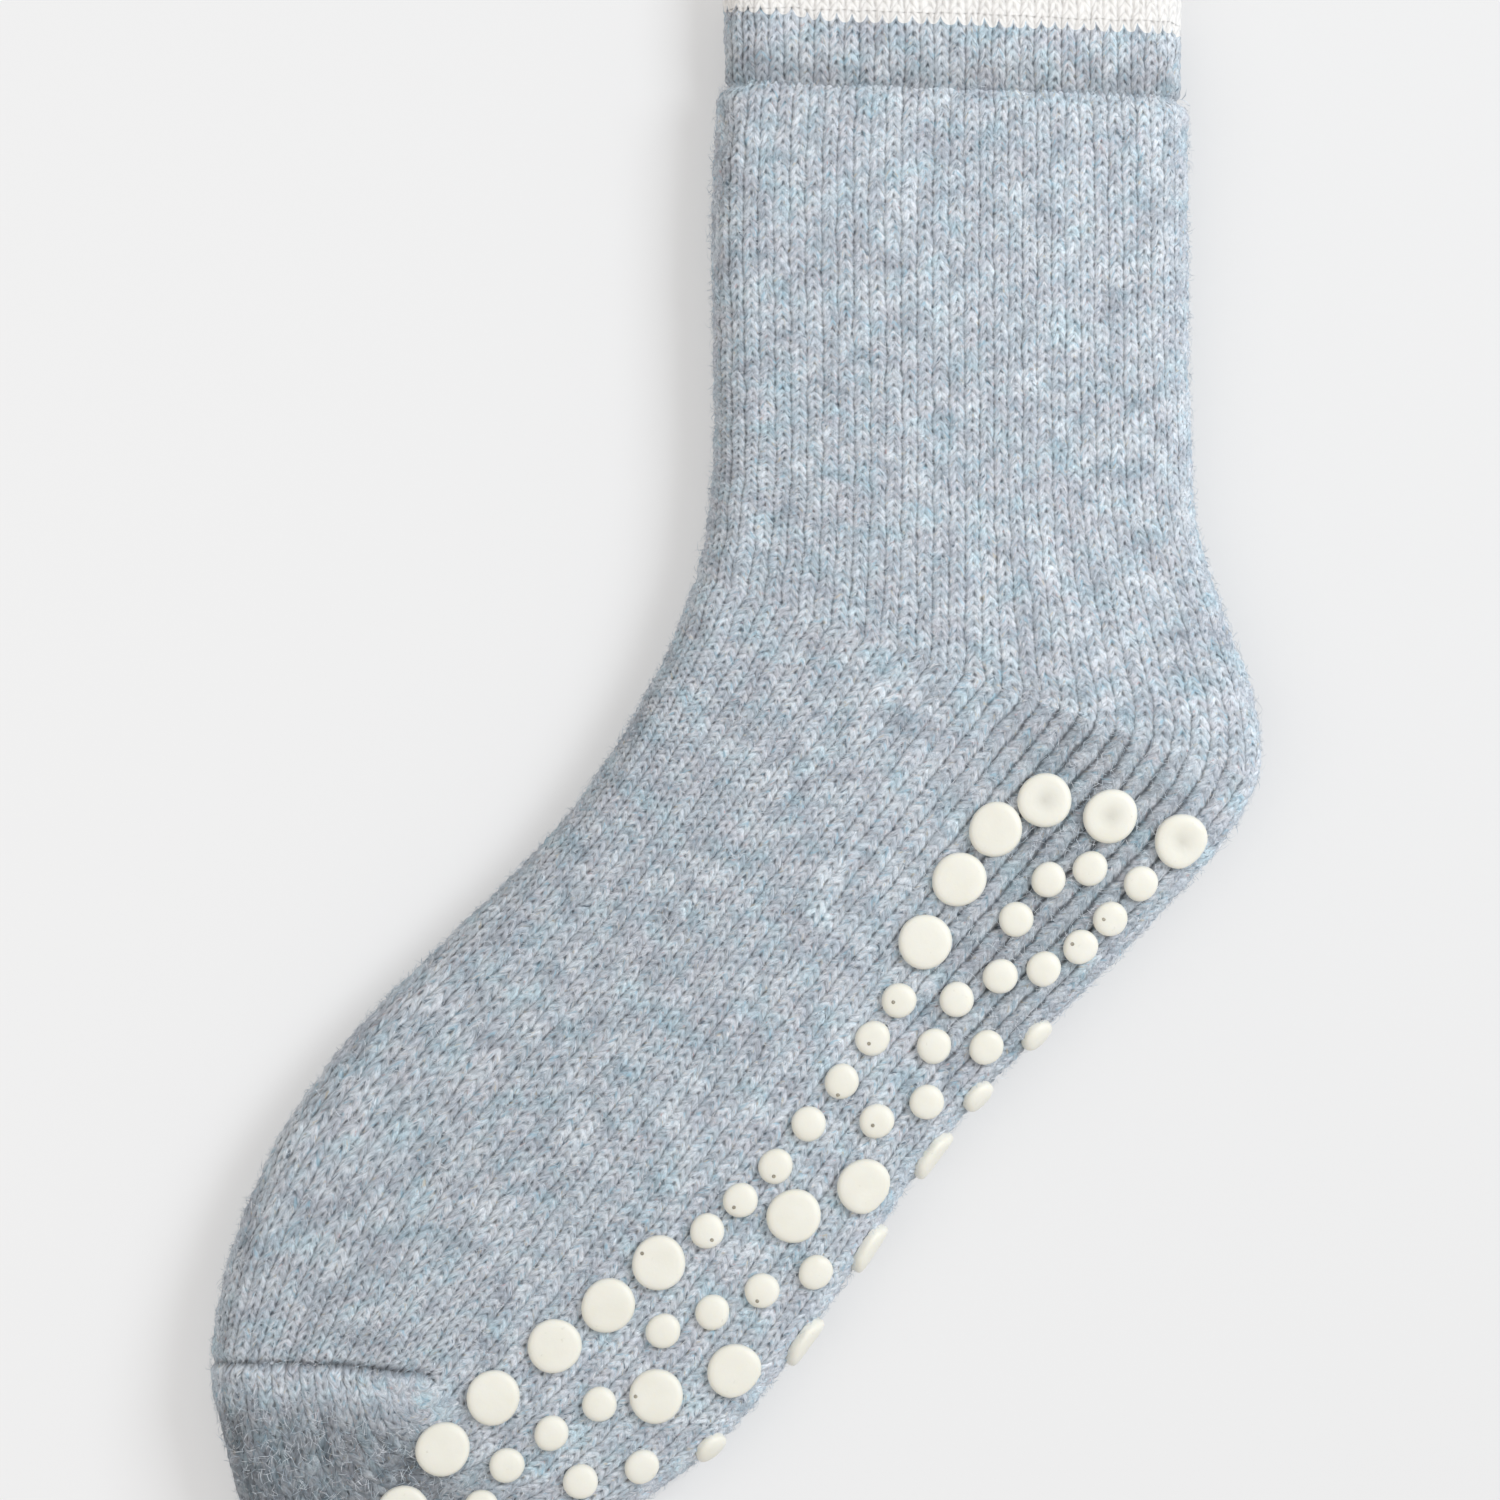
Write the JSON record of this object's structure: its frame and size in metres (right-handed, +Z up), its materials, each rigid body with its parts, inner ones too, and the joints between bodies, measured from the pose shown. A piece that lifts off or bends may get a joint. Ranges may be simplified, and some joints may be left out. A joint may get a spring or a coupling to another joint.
{
  "type": "slipper sock",
  "caption": "Hollow knitted slipper sock lying flat on its side, with a doubled welt at the collar, a turned heel, a toe seam and moulded grip dots over the sole.",
  "frame": {"origin": "middle of the sock's plan, on the surface that it lies on", "axes": "+Z up from that surface, through the sock's thickness; +Y up the leg towards the collar; the toe points towards -X and -Y, and the heel towards +X"},
  "size_m": [0.1918, 0.3084, 0.0196],
  "materials": {
    "blue_knit": "soft brushed marl knit",
    "welt_knit": "soft brushed marl knit, doubled",
    "cream_knit": "soft knit, doubled",
    "grip": "satin moulded silicone"
  },
  "bodies": {
    "root": {"sock_body": "blue_knit", "welt_band": "welt_knit", "welt_tip": "cream_knit", "grip_dot_01": "grip", "grip_dot_02": "grip", "grip_dot_03": "grip", "grip_dot_04": "grip", "grip_dot_05": "grip", "grip_dot_06": "grip", "grip_dot_07": "grip", "grip_dot_08": "grip", "grip_dot_09": "grip", "grip_dot_10": "grip", "grip_dot_11": "grip", "grip_dot_12": "grip", "grip_dot_13": "grip", "grip_dot_14": "grip", "grip_dot_15": "grip", "grip_dot_16": "grip", "grip_dot_17": "grip", "grip_dot_18": "grip", "grip_dot_19": "grip", "grip_dot_20": "grip", "grip_dot_21": "grip", "grip_dot_22": "grip", "grip_dot_23": "grip", "grip_dot_24": "grip", "grip_dot_25": "grip", "grip_dot_26": "grip", "grip_dot_27": "grip", "grip_dot_28": "grip", "grip_dot_29": "grip", "grip_dot_30": "grip", "grip_dot_31": "grip", "grip_dot_32": "grip", "grip_dot_33": "grip", "grip_dot_34": "grip", "grip_dot_35": "grip", "grip_dot_36": "grip", "grip_dot_37": "grip"}
  },
  "joints": []
}
